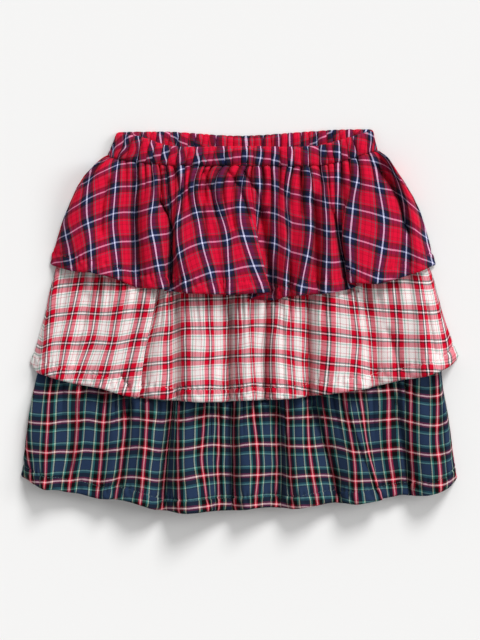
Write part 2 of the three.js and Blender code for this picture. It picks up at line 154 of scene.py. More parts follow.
MIDDLE_FOLDS = [
    (0.53, -163.4, -177.6, -186.7, -199.5, -40.9, 2.1),
    (0.75, -162.5, -176.4, -184.3, -193.3, -48.5, 9),
    (1, -160.6, -174.3, -181.2, -186.2, -51.3, 14),
    (2, -146.3, -153.4, -162.9, -171.0, -56.0, 20),
    (3, -130.2, -134.4, -141.6, -154.9, -59.9, 17),
    (4, -111.2, -114.0, -120.7, -133.0, -63.7, 22),
    (5, -87.4, -91.7, -100.7, -110.2, -70.3, 25),
    (5.45, -80.5, -81.5, -90.0, -96.4, -72.5, 23),
    (5.75, -77.5, -80.0, -91.5, -101.0, -73.2, 17.5),
    (6, -75.0, -78.5, -89.5, -97.0, -72.7, 14.8),
    (6.6, -69.4, -72.0, -77.0, -80.9, -73.7, 20),
    (7, -65.6, -67.1, -67.5, -68.4, -75.0, 20.5),
    (7.5, -59.9, -59.9, -59.9, -59.9, -75.4, 16.5),
    (8, -53.2, -52.8, -51.9, -51.3, -76.0, 23),
    (8.5, -41.8, -40.9, -39.4, -39.9, -76.6, 27),
    (9, -31.4, -29.5, -27.6, -29.5, -76.6, 26),
    (10, -13.3, -12.4, -13.3, -14.3, -76.5, 20),
    (10.4, -8.6, -8.6, -9.0, -9.0, -76.0, 16.5),
    (11, -1.0, -2.4, -1.4, 0.0, -75.4, 23),
    (11.6, 5.7, 6.7, 7.1, 9.5, -75.0, 25),
    (12, 9.5, 9.0, 10.5, 13.8, -75.0, 21),
    (12.5, 20.0, 20.9, 18.0, 19.0, -74.8, 19.5),
    (12.8, 24.7, 26.6, 24.2, 24.2, -74.7, 16.5),
    (13, 31.4, 33.3, 29.5, 29.5, -74.6, 21),
    (13.5, 39.0, 40.9, 38.5, 39.9, -74.1, 25),
    (14, 47.5, 48.1, 48.5, 50.4, -73.4, 24),
    (15, 60.8, 61.8, 61.3, 61.8, -71.9, 20),
    (15.3, 66.0, 66.5, 66.5, 66.5, -71.1, 16.5),
    (15.65, 73.2, 73.2, 73.2, 72.2, -70.3, 21),
    (16, 83.6, 84.6, 84.6, 79.8, -69.7, 25),
    (16.5, 95.0, 96.9, 98.3, 95.0, -67.8, 27),
    (17, 104.5, 106.9, 111.2, 108.3, -65.8, 26),
    (17.5, 112.1, 114.0, 118.3, 120.7, -64.0, 21.5),
    (18, 119.7, 119.7, 124.5, 127.3, -62.3, 11),
    (18.5, 130.2, 133.0, 136.8, 138.7, -59.5, 13),
    (19, 140.6, 146.3, 149.6, 151.0, -56.4, 16.5),
    (19.5, 150.1, 158.7, 162.5, 164.4, -54.2, 22),
    (20, 158.0, 169.6, 174.8, 177.7, -51.8, 27),
    (21, 164.0, 180.4, 191.0, 198.6, -43.2, 13),
    (21.35, 165.3, 182.4, 193.3, 208.0, -34.2, 2.1),
]
BOTTOM_FOLDS = [
    (-0.42, -180.5, -194.8, -202.4, -208.0, -148.2, 2.1),
    (-0.1, -179.6, -193.3, -200.9, -199.5, -152.5, 12),
    (1, -172.9, -180.0, -183.4, -185.3, -159.6, 24),
    (1.5, -161.5, -166.7, -170.1, -173.9, -160.2, 20),
    (2, -149.2, -153.3, -155.8, -162.5, -162.5, 17),
    (2.4, -139.7, -143.0, -146.3, -153.0, -163.8, 15.5),
    (3, -125.4, -127.5, -131.1, -135.9, -168.2, 17),
    (3.6, -115.0, -117.0, -118.5, -125.5, -168.8, 20.5),
    (4, -109.3, -110.2, -111.4, -118.2, -169.1, 18.5),
    (4.5, -96.9, -98.3, -100.2, -106.4, -171.0, 22),
    (5, -85.5, -87.4, -90.3, -94.0, -174.4, 25),
    (5.5, -73.2, -74.6, -78.9, -82.7, -178.4, 20),
    (6, -63.7, -65.6, -70.3, -74.1, -179.6, 14),
    (6.3, -61.3, -63.2, -67.9, -69.4, -180.0, 14),
    (7, -56.0, -58.0, -58.9, -57.0, -181.9, 26),
    (7.4, -47.5, -49.4, -50.4, -47.5, -181.9, 30),
    (8, -31.4, -33.7, -35.6, -30.4, -180.5, 24),
    (9, -20.4, -20.4, -20.4, -20.9, -179.9, 17),
    (9.5, -10.5, -10.5, -10.5, -9.5, -179.7, 13.5),
    (10, -5.7, -5.7, -5.7, -3.8, -179.6, 16),
    (10.4, 1.0, 1.4, 1.9, 4.8, -178.6, 24),
    (11, 11.4, 12.4, 16.2, 15.2, -177.3, 23),
    (11.6, 25.7, 26.6, 27.6, 26.6, -176.7, 17),
    (12, 34.2, 34.2, 34.2, 33.7, -176.9, 14.5),
    (12.4, 38.0, 39.0, 40.4, 40.9, -177.2, 15),
    (13, 42.8, 44.7, 47.5, 51.3, -178.0, 21),
    (13.4, 51.3, 53.2, 55.1, 59.9, -176.9, 24.5),
    (14, 63.7, 64.6, 66.5, 73.2, -174.8, 21),
    (14.5, 68.9, 71.3, 77.0, 83.6, -172.9, 15.5),
    (15, 74.1, 78.4, 85.5, 92.2, -172.3, 14.5),
    (15.5, 85.5, 89.3, 96.9, 100.7, -172.9, 19),
    (16, 95.0, 99.3, 107.4, 110.2, -173.7, 24),
    (16.5, 103.6, 107.4, 115.9, 123.5, -171.7, 23),
    (17, 112.1, 115.0, 121.6, 134.9, -169.5, 19),
    (17.3, 117.8, 120.7, 125.4, 133.5, -169.1, 13),
    (18, 138.7, 140.6, 142.5, 147.3, -166.3, 12),
    (18.25, 144.4, 147.3, 150.6, 153.9, -165.2, 10.5),
    (19, 160.6, 162.5, 162.9, 164.8, -165.7, 16),
    (19.5, 172.9, 175.8, 175.3, 177.7, -165.3, 22),
    (20, 183.4, 187.2, 187.2, 190.0, -162.0, 22),
    (20.5, 188.1, 191.0, 196.7, 199.5, -157.2, 13),
    (21.05, 191.0, 192.9, 200.0, 206.6, -150.1, 2.1),
]

# The weft line that the hem cuts, along the cloth. It drifts, as each tier is cut off the grain
TOP_WEFT = [
    (-0.75, 3.0), (0, 3.44), (1, 3.86), (2, 4.33), (3, 4.6), (4, 4.85), (5, 5.02), (6, 5.4),
    (7, 5.73), (8, 5.83), (9, 5.93), (10, 5.87), (11, 5.8), (12, 5.55), (13, 5.33), (14, 5.1),
    (15, 4.95), (16, 4.55), (17, 4.2), (18, 3.85), (19, 3.1), (19.12, 3.0),
]
MIDDLE_WEFT = [
    (0.53, 2.62), (1, 2.98), (2, 3.25), (3, 3.4), (4, 3.53), (5, 3.86), (6, 4.07), (7, 4.27),
    (8, 4.45), (9, 4.49), (11, 4.5), (13, 4.5), (14, 4.37), (15, 4.25), (16, 4.05), (17, 3.8),
    (18, 3.6), (19, 3.35), (20, 3.15), (21, 2.87), (21.35, 2.75),
]
BOTTOM_WEFT = [
    (-0.42, 3.95), (0, 4.03), (1, 4.23), (2, 4.4), (3, 4.57), (4, 4.7), (5, 4.9), (6, 5.03),
    (7, 5.13), (8, 5.2), (9, 5.22), (10, 5.15), (11, 5.13), (12, 5.11), (13, 5.08), (14, 5.0),
    (15, 4.9), (16, 4.8), (17, 4.65), (18, 4.57), (19, 4.47), (20, 4.25), (21.05, 4.1),
]
TOP_DEPTH = 4.6  # repeats from the waist seam to the top tier's hem

# Where the warp lines cross the casing, front and back: X and the line's number
FRONT_WARP = [
    (-127, 0.4), (-121.1, 1), (-108.3, 2), (-96.9, 3), (-83.6, 4), (-71.3, 5), (-56.1, 6),
    (-39.9, 7), (-16.2, 8), (5.7, 9), (19, 10), (33.3, 11), (48.5, 12), (63.7, 13), (77.9, 14),
    (93.1, 15), (108.3, 16), (124.5, 17), (133, 18),
]
BACK_WARP = [
    (-127, -3.2), (-76, 0), (-59.9, 1), (-42.8, 2), (-22.8, 3), (5.7, 4), (21.9, 5), (36.1, 6),
    (47.5, 7), (58.9, 8), (72.2, 9), (88, 10), (104, 11), (133, 12.8),
]

# Creases that the folds run into, each listed: its form, its depth and width in
# millimetres and the places that it passes. A trough is a valley. The others are edges of cloth
# that lies over its neighbour, raised on the left or on the right side. The short ones at the top
# of a tier are the valleys between its larger gathers.
TOP_CREASES = [
    ("trough", 2.0, 3.0, [(-101.6, 145.3), (-100.7, 100.7), (-99.8, 43.7)]),
    ("trough", 3.8, 2.1, [(-77.9, 118.8), (-69.3, 102.6), (-64.6, 86.5), (-65.5, 57.9),
                          (-66.5, 23.8)]),
    ("trough", 2.2, 2.5, [(43.7, 128.2), (45.6, 77.0), (48.4, 19.9)]),
    ("trough", 3.2, 3.4, [(69.3, 124.4), (72.2, 77.0), (75.0, 19.9)]),
    ("trough", 3.0, 2.5, [(86.5, 110.2), (94.0, 81.7), (99.8, 56.0), (102.6, 24.7)]),
    ("trough", 3.4, 3.2, [(125.4, 152.9), (143.4, 130.2), (152.0, 114.0), (156.8, 94.0),
                          (162.4, 77.0)]),
    ("trough", 1.6, 2.8, [(-33.2, 135.8), (-35.1, 105.4), (-31.3, 67.5)]),
    ("trough", 1.4, 2.5, [(-7.6, 137.8), (-9.5, 110.2), (-3.8, 81.7)]),
    ("trough", 1.6, 2.7, [(-123.5, 137.8), (-130.2, 110.2), (-132.0, 77.0)]),
    ("trough", 3.8, 4.4, [(19.5, 110.0), (21.3, 99.7), (25.0, 68.9), (29.4, 38.0), (31.5, 15.0)]),
    ("trough", 1.7, 2.1, [(-35.5, 146.0), (-27.1, 122.5), (-21.1, 92.0)]),
    ("trough", 1.8, 2.2, [(-13.5, 146.0), (-1.0, 128.4), (4.9, 112.5), (10.5, 92.0)]),
    ("trough", 1.6, 2.2, [(-1.0, 147.0), (16.0, 124.0), (20.0, 106.0)]),
    ("trough", 1.7, 2.1, [(-60.5, 146.0), (-56.0, 122.0), (-55.5, 98.0)]),
    ("trough", 1.6, 2.0, [(-72.0, 147.0), (-75.0, 128.0), (-78.0, 104.0)]),
    ("trough", 1.5, 2.2, [(57.0, 146.0), (60.0, 120.0), (57.5, 96.0)]),
]
MIDDLE_CREASES = [
    ("left", 3.2, 6.6, [(-78.8, 34.2), (-80.8, 15.2), (-86.5, -13.3), (-92.1, -27.5), (-95.0, -41.8),
                        (-96.9, -75.0)]),
    ("trough", 1.6, 2.8, [(-59.8, 29.4), (-60.8, -27.5), (-59.8, -84.5)]),
    ("trough", 3.0, 2.5, [(-9.5, 29.4), (-10.4, -27.5), (-9.5, -84.5)]),
    ("left", 2.6, 3.8, [(6.6, 29.4), (7.6, -27.5), (8.5, -84.5)]),
    ("trough", 2.6, 1.7, [(24.7, 29.4), (24.7, -27.5), (23.8, -84.5)]),
    ("trough", 1.3, 2.3, [(40.9, 29.4), (40.9, -27.5), (41.8, -84.5)]),
    ("trough", 2.8, 3.2, [(64.6, 29.4), (65.5, -27.5), (67.5, -84.5)]),
    ("left", 2.6, 5.7, [(108.3, 27.5), (112.1, 2.8), (116.8, -13.3), (121.6, -32.3), (126.3, -67.5)]),
    ("trough", 1.0, 4.6, [(138.7, -4.8), (145.3, -23.8), (153.9, -51.3)]),
    ("trough", 1.4, 1.7, [(-114.0, -49.4), (-108.3, -57.0), (-103.5, -66.5)]),
    ("trough", 1.6, 2.8, [(-142.5, 29.4), (-149.2, -3.8), (-159.6, -48.4)]),
    ("trough", 1.4, 2.8, [(175.8, 19.9), (181.4, -8.5), (186.2, -37.0)]),
]
BOTTOM_CREASES = [
    ("trough", 1.6, 3.0, [(-103.5, -69.3), (-109.2, -122.5), (-116.8, -162.4)]),
    ("trough", 3.6, 2.8, [(-62.7, -71.2), (-66.5, -94.0), (-70.3, -122.5), (-75.5, -181.0)]),
    ("trough", 1.6, 1.9, [(-19.9, -69.3), (-19.0, -122.5), (-18.1, -180.0)]),
    ("trough", 3.4, 2.7, [(-7.6, -69.3), (-8.5, -122.5), (-7.6, -180.0)]),
    ("trough", 4.6, 3.2, [(36.1, -69.3), (38.0, -122.5), (38.9, -180.0)]),
    ("right", 2.4, 3.8, [(40.9, -69.3), (44.6, -103.5), (47.5, -132.0), (53.2, -180.0)]),
    ("trough", 3.8, 3.2, [(67.5, -69.3), (76.0, -103.5), (91.2, -152.9), (95.9, -174.8)]),
    ("right", 4.2, 6.6, [(96.9, -69.3), (106.4, -98.8), (115.9, -122.5), (125.4, -146.3), (138.7, -181.4)]),
    ("trough", 3.6, 2.8, [(147.2, -69.3), (152.0, -98.8), (157.7, -127.3), (162.4, -174.8)]),
    ("trough", 1.6, 2.5, [(191.9, -73.1), (192.8, -113.0), (196.6, -160.5)]),
    ("trough", 1.4, 2.5, [(-155.8, -65.5), (-157.7, -103.5), (-161.5, -151.0)]),
]

# A crease's section, in its own depths and widths
VALLEY_DEEP, VALLEY_WIDE = 2.6, 0.8  # the narrow valley of a trough
DIP_DEEP, DIP_WIDE = 0.6, 2.6  # and the wide dip round it
EDGE_FOOT = 0.35  # how far the cloth dips at the foot of an edge
EDGE_SOFT = 0.55  # half the width of an edge's step, in millimetres
CREASE_END = 0.14  # share of a crease's length in which it fades out at each end

# Gathers below the seams, in millimetres
TOP_GATHER, TOP_LEAN = 6.0, 1.05  # how high they stand, and how far they lean over the valleys
LOWER_GATHER, LOWER_LEAN = 4.0, 0.8
GATHER_SHARP = 0.85  # 0 for round valleys as wide as the ridges, 1 for narrow ones
SMOOTH_LEFT, SMOOTH_RIGHT = 34, 18  # the top tier's start this far from the sides
SMOOTH_LOWER = 18
PUFF = [7.4, 10, 5, 0]  # how far the top tier stands up over its folds, at four levels
PUFF_FROM = 11  # a fold this high has all of it

# Cloth: how finely each piece is meshed, its thickness and its hem, in millimetres
FRONT_COLUMNS, TOP_ROWS, LOWER_ROWS = 470, 96, 84
BACK_COLUMNS, BACK_ROWS = 248, 56
CASING_COLUMNS, CASING_ROWS = 372, 30
CLOTH_THICK = 0.8
HEM_DEEP = 12.3
HEM_RISE = 0.5  # how far the turned cloth lifts the hem
GROOVE_DEEP, GROOVE_WIDE = 1.1, 1.0  # the groove along its stitches
PUCKER_DEEP, PUCKER_WIDE, PUCKER_LONG = 0.9, 4.2, 6.3  # the puckers beside the stitches
ROPE_DEEP, ROPE_SLANT, ROPE_LONG = 0.55, 0.8, 11.7  # the slanting twists of the hem
ROLL_DEEP, ROLL_WIDE = 0.9, 1.1  # the rolled lower edge
STITCH_STEP, STITCH_LONG, THREAD = 3.1, 2.3, 0.5
STITCH_RISE = 0.05  # how far the middle of a stitch lies above the face

# The plaids' places on the cloth, in repeats
REPEAT = 28.0  # millimetres from one pale line of a plaid to the next
WANDER = 0.055  # how far the lines stray where the cloth is pulled
WEFT_SAG = 0.25  # how far the top tier's weft lines hang down between its seam and its hem
LEFT_TURN, LEFT_WIDE = 1.9, 2.75  # the top tier's plaid turns this far out, this near the left side
RIGHT_TURN, RIGHT_WIDE, RIGHT_POWER = 0.85, 2.12, 1.9  # and the same on the right side
TURN_WIDE = 1.3  # the lower tiers' plaids turn this near the sides
TURN_POWER, CORNER_POWER = 1.5, 2.3  # how soon they do, and sooner where the corner turns too

# Back panels, which lie on the surface: a hem's half width, its Y at the sides and its drop
BACK_HEMS = {"top": (183, 54.5, 24), "middle": (203, -37, 34), "bottom": (207, -147, 26)}
HEM_ROUND = 2.5  # power of those curves
SIDE_INSET = 1
BACK_GATHER = 1.1
BACK_FADE = 10  # they run out within one part in this many of the width, at each side
RUFFLES, RUFFLE_DEEP = 23, 0.8  # the lower tiers' waves, just below the hem of the back above

# Their plaid: the weft line at the hem, and the warp lines at the left and right sides
BACK_PLAID = {"top": (5.2, -0.75, 19.12), "middle": (4.3, 0.53, 21.35), "bottom": (5.0, -0.42, 21.05)}

# Squares of the height map that keeps each tier under the one over it, in millimetres
CELL, CELLS = 2.5, 180

# The view and its lights
PIXEL = 0.95 * MM  # the real size of a pixel of the view
VIEW_HIGH = 640
VIEW_MIDDLE_Y = 0.95 * MM
CLOTH_LEVEL = 0.012  # height at which the view has that scale
KEY_SPREAD, KEY_TRAVEL = 22, (-0.41, -0.91)  # softness in degrees, and the way over the surface
SIDE_SPREAD, SIDE_TRAVEL = 30, (-0.97, -0.25)


def mix(a, b, share):
    return a + (b - a) * share


def smooth(share):
    t = min(1.0, max(0.0, share))
    return t * t * (3 - 2 * t)


def hermite(a, b, slope_a, slope_b, t):
    s = 1 - t
    return a * (1 + 2 * t) * s * s + b * (3 - 2 * t) * t * t + slope_a * t * s * s - slope_b * t * t * s


def read_table(rows, column, at, along=0):
    """A table's column, read smoothly between its rows."""
    last = len(rows) - 1
    i = 0
    while i < last - 1 and at > rows[i + 1][along]:
        i += 1

    def slope(j):
        p, q = rows[max(0, j - 1)], rows[min(last, j + 1)]
        return (q[column] - p[column]) / (q[along] - p[along])

    a, b = rows[i], rows[i + 1]
    wide = b[along] - a[along]
    share = (at - a[along]) / wide
    return hermite(a[column], b[column], slope(i) * wide, slope(i + 1) * wide, share)


def read_levels(levels, down):
    """A smooth way through values at four even levels, from 0 at the top to 1 at the hem."""
    i = min(2, int(down * 3))
    a, b = levels[i], levels[i + 1]
    slope_a = (b - levels[i - 1]) / 2 if i > 0 else b - a
    slope_b = (levels[i + 2] - a) / 2 if i < 2 else b - a
    return hermite(a, b, slope_a, slope_b, down * 3 - i)


def mouth_height(x):
    return MOUTH_SIDE_Z + MOUTH_RISE * (1 - min(1, abs(x) / MOUTH_HALF) ** 4)


def gather_phase(share):
    return share * GATHERS + 0.2 * math.sin(share * 37) + 0.1 * math.sin(share * 83 + 1)


def waist_share(x):
    return (x - SEAM_LEFT) / (SEAM_RIGHT - SEAM_LEFT)


def waist_line(x, column):
    return read_table(WAIST, column, min(WAIST[-1][WAIST_X], max(WAIST[0][WAIST_X], x)))


def rough(x, y, seed):
    """Gentle unevenness from -1 to 1, the same in every run."""
    return noise.noise(Vector((x, y, seed * 7.31)))


class Tier:
    """A front panel: its folds, weft drift and creases, and the curve of its top edge.

    More and early deepen its folds, over is the tier that lies on it, and under is the map of its
    lowest heights, made with its mesh. Its folds grow from top to hem by the power grow.
    """

    def __init__(self, folds, weft, creases, more, early, over, top_y=0.0, rise=0.0, out=1.0, grow=1.35):
        self.folds, self.weft, self.creases = folds, weft, creases
        self.more, self.early, self.over, self.under = more, early, over, None
        self.top_y, self.rise, self.out, self.grow = top_y, rise, out, grow

    def column(self, cloth):
        """What one line of the cloth needs: its four X levels, its hem, height and weft."""
        folds = self.folds
        levels = [read_table(folds, c, cloth) for c in (X0, X1, X2, X3)]
        hem_y = read_table(folds, HEM_Y, cloth)
        height = read_table(folds, HEIGHT, cloth)
        return levels, hem_y, height, read_table(self.weft, 1, cloth)

    def top_edge(self, x):
        """The Y of a lower tier's top edge, which rises towards the sides."""
        return self.top_y + self.rise * (x / self.out) ** 2


TOP = Tier(TOP_FOLDS, TOP_WEFT, TOP_CREASES, more=0.6, early=0.8, over=None, grow=1.15)
MIDDLE = Tier(MIDDLE_FOLDS, MIDDLE_WEFT, MIDDLE_CREASES, more=0.9, early=0.9, over=TOP,
              top_y=64.6, rise=21.9, out=165)
BOTTOM = Tier(BOTTOM_FOLDS, BOTTOM_WEFT, BOTTOM_CREASES, more=0.8, early=0.9, over=MIDDLE,
              top_y=-35.2, rise=26.6, out=185)


def gather_length(number):
    """The share of the top tier's depth that a gather reaches down, some short and some long."""
    return 0.36 + 0.4 * abs(math.sin(number * 2.4 + 0.7))


def top_point(cloth, down, lines):
    """A point of the top tier's front, with its gather's height apart."""
    levels, hem_y, height, _ = lines
    waist_x = levels[0]
    seam_y = waist_line(waist_x, FRONT_SEAM) - SEAM_GAP
    away = smooth((height - SECOND_Z) / PUFF_FROM)
    fade = smooth(min((waist_x - SEAM_LEFT) / SMOOTH_LEFT, (SEAM_RIGHT - waist_x) / SMOOTH_RIGHT))
    phase = gather_phase(waist_share(waist_x))
    reach = gather_length(round(phase))
    wave = math.cos(TAU * phase)
    sharp = mix(wave, 2 * ridge(phase) - 1, GATHER_SHARP)
    strength = fade * (1 - smooth(down / reach)) ** 1.1 * mix(0.4, 1, smooth(down / 0.1))
    gather = TOP_GATHER * strength * sharp
    bulge = TOP_LEAN * strength * math.sin(TAU * phase)
    folded = SECOND_Z + (height - SECOND_Z) * down ** TOP.grow + away * read_levels(PUFF, down)
    z = mix(mouth_height(waist_x), folded, smooth(down / 0.2))
    return read_levels(levels, down) + bulge, mix(seam_y, hem_y, down ** 1.5), z, gather


def lower_point(tier, cloth, down, lines):
    """A point of a lower tier's front, with its gather's height apart."""
    levels, hem_y, height, _ = lines
    top_x = levels[0]
    top_y = tier.top_edge(top_x)
    from_side = min(top_x - tier.folds[0][X0], tier.folds[-1][X0] - top_x)
    strip = mix(THIRD_Z, STRIP_Z, smooth(from_side / STRIP_ROLL))
    z = mix(strip, height, down ** tier.grow)
    phase = cloth * 2.15 + 0.35 * math.sin(cloth * 1.7) + 0.2 * math.sin(cloth * 4.3 + 1)
    reach = 0.42 + 0.3 * abs(math.sin(round(phase) * 1.9 + 0.4))
    strength = smooth(from_side / SMOOTH_LOWER) * (1 - smooth(down / reach))
    gather = LOWER_GATHER * strength * math.cos(TAU * phase)
    bulge = LOWER_LEAN * strength * math.sin(TAU * phase)
    return read_levels(levels, down) + bulge, mix(top_y, hem_y, down), z, gather


def top_plaid(cloth, down, lines):
    """The top tier's plaid coordinates. Near the sides its warp lines slant out of the cloth's edge."""
    f = down ** 1.5
    weft = lines[3] - TOP_DEPTH * (1 - f - WEFT_SAG * f * (1 - f) ** 2)
    left = 1 - (cloth - TOP_FOLDS[0][CLOTH]) / LEFT_WIDE
    right = 1 - (TOP_FOLDS[-1][CLOTH] - cloth) / RIGHT_WIDE
    warp = cloth
    if left > 0.01:
        warp += LEFT_TURN * left * (1 - f) ** (1.3 / left ** 0.8)
    if right > 0:
        warp -= RIGHT_TURN * right * (1 - f) ** RIGHT_POWER
    return warp, weft


def lower_plaid(tier, turn_left, turn_right, out_left=0.0):
    """A lower tier's plaid, whose lines run off the sides higher up and lie further in at the hem.

    The turns are given in repeats. Out_left moves the lines back out at the hem's left corner.
    """
    first, last = tier.folds[0][CLOTH], tier.folds[-1][CLOTH]
    left_power = CORNER_POWER if out_left else TURN_POWER

    def place(cloth, down, lines):
        levels, hem_y, _, weft = lines
        deep = (tier.top_edge(levels[0]) - hem_y) * (1 - down) / REPEAT
        left = max(0.0, 1 - (cloth - first) / TURN_WIDE) ** left_power
        right = max(0.0, 1 - (last - cloth) / TURN_WIDE) ** TURN_POWER
        warp = cloth + (turn_left * left - turn_right * right) * (1 - down) - out_left * left
        return warp, weft - deep

    return place


def front_grid(tier, place, plaid, columns, rows):
    """Places and plaid coordinates of a front panel on an even grid, before its fine relief."""
    first, last = tier.folds[0][CLOTH], tier.folds[-1][CLOTH]
    points = np.zeros((columns + 1, rows + 1, 4))
    plaids = np.zeros((columns + 1, rows + 1, 2))
    seed = first * 5
    for i in range(columns + 1):
        cloth = mix(first, last, i / columns)
        lines = tier.column(cloth)
        for j in range(rows + 1):
            down = j / rows
            points[i, j] = place(cloth, down, lines)
            warp, weft = plaid(cloth, down, lines)
            stray = rough(warp * 1.1, weft * 0.9, seed), rough(warp * 0.8, weft * 1.2, seed + 2)
            plaids[i, j] = warp + WANDER * stray[0], weft + WANDER * stray[1]
    return points, plaids


def facing(points):
    """Unit normals of a grid of points."""
    across = np.gradient(points, axis=0)
    along = np.gradient(points, axis=1)
    out = np.cross(along, across)
    return out / np.maximum(np.linalg.norm(out, axis=2, keepdims=True), 1e-9)


def above_hem(points):
    """How far each point lies above the hem, measured along the cloth."""
    steps = np.linalg.norm(np.diff(points, axis=1), axis=2)
    up = np.zeros(points.shape[:2])
    up[:, :-1] = np.cumsum(steps[:, ::-1], axis=1)[:, ::-1]
    return up


def bell(away, wide):
    """A soft bump: 1 in its middle and almost 0 two widths away."""
    return np.exp(-((away / wide) ** 2))


def hem_relief(points, plaids, seed):
    """A turned hem: a groove along its stitches, puckers beside them and a rolled lower edge."""
    up = above_hem(points)
    over = up - HEM_DEEP
    along = plaids[:, :, 0] * REPEAT
    relief = HEM_RISE / (1 + np.exp(over * 2.2))
    relief -= GROOVE_DEEP * bell(over, GROOVE_WIDE)
    uneven = 1.7 * np.sin(along / 19 + seed)
    pucker = np.sin(along * TAU / PUCKER_LONG + uneven) * bell(over, PUCKER_WIDE)
    uneven = 2.3 * np.sin(along / 31 + seed)
    rope = np.sin((along + ROPE_SLANT * up) * TAU / ROPE_LONG + uneven) * (up < HEM_DEEP)
    relief += PUCKER_DEEP * pucker + ROPE_DEEP * rope * np.sin(np.pi * np.clip(up / HEM_DEEP, 0, 1))
    relief -= ROLL_DEEP * bell(up, ROLL_WIDE)
    return relief


def near_path(x, y, path):
    """How far each place lies from a crease, on which side of it, and how far along it."""
    away = np.full(x.shape, 1e6)
    side = np.ones(x.shape)
    run = np.zeros(x.shape)
    for k, ((ax, ay), (bx, by)) in enumerate(zip(path, path[1:])):
        long = math.hypot(bx - ax, by - ay)
        share = np.clip(((x - ax) * (bx - ax) + (y - ay) * (by - ay)) / long ** 2, 0, 1)
        off = np.hypot(x - ax - share * (bx - ax), y - ay - share * (by - ay))
        turned = np.sign((x - ax) * (ay - by) + (y - ay) * (bx - ax))
        nearer = off < away
        away = np.where(nearer, off, away)
        side = np.where(nearer, turned, side)
        run = np.where(nearer, (k + share) / (len(path) - 1), run)
    return away, side, run


def crease_relief(points, creases):
    """What the creases add to the height of a front panel."""
    x, y = points[:, :, 0], points[:, :, 1]
    relief = np.zeros(x.shape)
    for form, deep, wide, path in creases:
        away, side, run = near_path(x, y, path)
        ends = np.clip(run / CREASE_END, 0, 1) * np.clip((1 - run) / CREASE_END, 0, 1)
        ends = ends * ends * (3 - 2 * ends)
        if form == "trough":
            relief -= VALLEY_DEEP * deep * ends * bell(away, VALLEY_WIDE * wide)
            relief -= DIP_DEEP * deep * ends * bell(away, DIP_WIDE * wide)
        else:
            high = side * away * (1 if form == "right" else -1)
            step = 1 / (1 + np.exp(-high / EDGE_SOFT))
            lip = step * np.exp(-np.abs(high) / wide)
            foot = EDGE_FOOT * (1 - step) * np.exp(-np.abs(high) / wide * 2)
            relief += deep * ends * (lip - foot)
    return relief


def deepened(points, more, early):
    """Heights moved away from their mean along each level, the more the nearer to the tier's top."""
    z = points[:, :, 2]
    wide = FRONT_COLUMNS // 18  # the mean is taken over this many columns to each side
    reach = np.hanning(2 * wide + 1)
    reach /= reach.sum()
    padded = np.pad(z, ((wide, wide), (0, 0)), mode="edge")
    mean = np.stack([np.convolve(padded[:, j], reach, mode="valid") for j in range(z.shape[1])], 1)
    level = np.linspace(0, 1, z.shape[1])[None, :]
    start = 0.12  # share of the depth in which the folds set in
    share = (1 + more) * np.maximum(level, start) ** -early - 1
    return z + share * (z - mean) * np.clip(level / start, 0, 1)


def cell_of(points):
    """The square of the height map that each point lies in."""
    across = np.clip(np.floor(points[:, :, 0] / CELL).astype(int) + CELLS // 2, 1, CELLS - 2)
    along = np.clip(np.floor(points[:, :, 1] / CELL).astype(int) + CELLS // 2, 1, CELLS - 2)
    return across, along


def underside(points):
    """The lowest height of a panel over each square of the surface and its neighbours."""
    found = np.full((CELLS, CELLS), 1e3)
    across, along = cell_of(points)
    for i in (-1, 0, 1):
        for j in (-1, 0, 1):
            np.minimum.at(found, (across + i, along + j), points[:, :, 2])
    return found


def soft_relief(plaids, seed, size):
    """Small soft dents and rises of brushed cotton that was folded and handled."""
    relief = np.zeros(plaids.shape[:2])
    for i in range(plaids.shape[0]):
        for j in range(plaids.shape[1]):
            u, w = plaids[i, j]
            relief[i, j] = rough(u * 1.6, w * 0.7, seed) + 0.5 * rough(u * 3.7, w * 2.6, seed + 3)
    return relief * size


def cloth_mesh(name, points, plaids, turned=False):
    """A mesh from a grid of places, with the plaid's own coordinates as its UV map, in metres."""
    columns, rows = points.shape[0] - 1, points.shape[1] - 1
    shape = bmesh.new()
    bmesh.ops.create_grid(shape, x_segments=columns, y_segments=rows, size=0.5)
    uv = shape.loops.layers.uv.new("plaid")
    shape.verts.index_update()
    at = {}
    for vert in shape.verts:
        i = round((vert.co.x + 0.5) * columns)
        j = round((0.5 - vert.co.y) * rows)
        at[vert.index] = (i, j)
        vert.co = Vector(points[i, j] * MM)
    for face in shape.faces:
        face.smooth = True
        for loop in face.loops:
            i, j = at[loop.vert.index]
            loop[uv].uv = (plaids[i, j, 0] * REPEAT * MM, -plaids[i, j, 1] * REPEAT * MM)
    if turned:
        bmesh.ops.reverse_faces(shape, faces=shape.faces[:])
    mesh = bpy.data.meshes.new(name)
    shape.to_mesh(mesh)
    shape.free()
    return mesh


def hem_line(points):
    """The hem's stitch line on a panel's face, with the face's direction there."""
    up = above_hem(points)
    out = facing(points)
    line, faces = [], []
    for i in range(points.shape[0]):
        at = up[i, ::-1]
        line.append([np.interp(HEM_DEEP, at, points[i, ::-1, k]) for k in range(3)])
        faces.append([np.interp(HEM_DEEP, at, out[i, ::-1, k]) for k in range(3)])
    return np.array(line), np.array(faces)


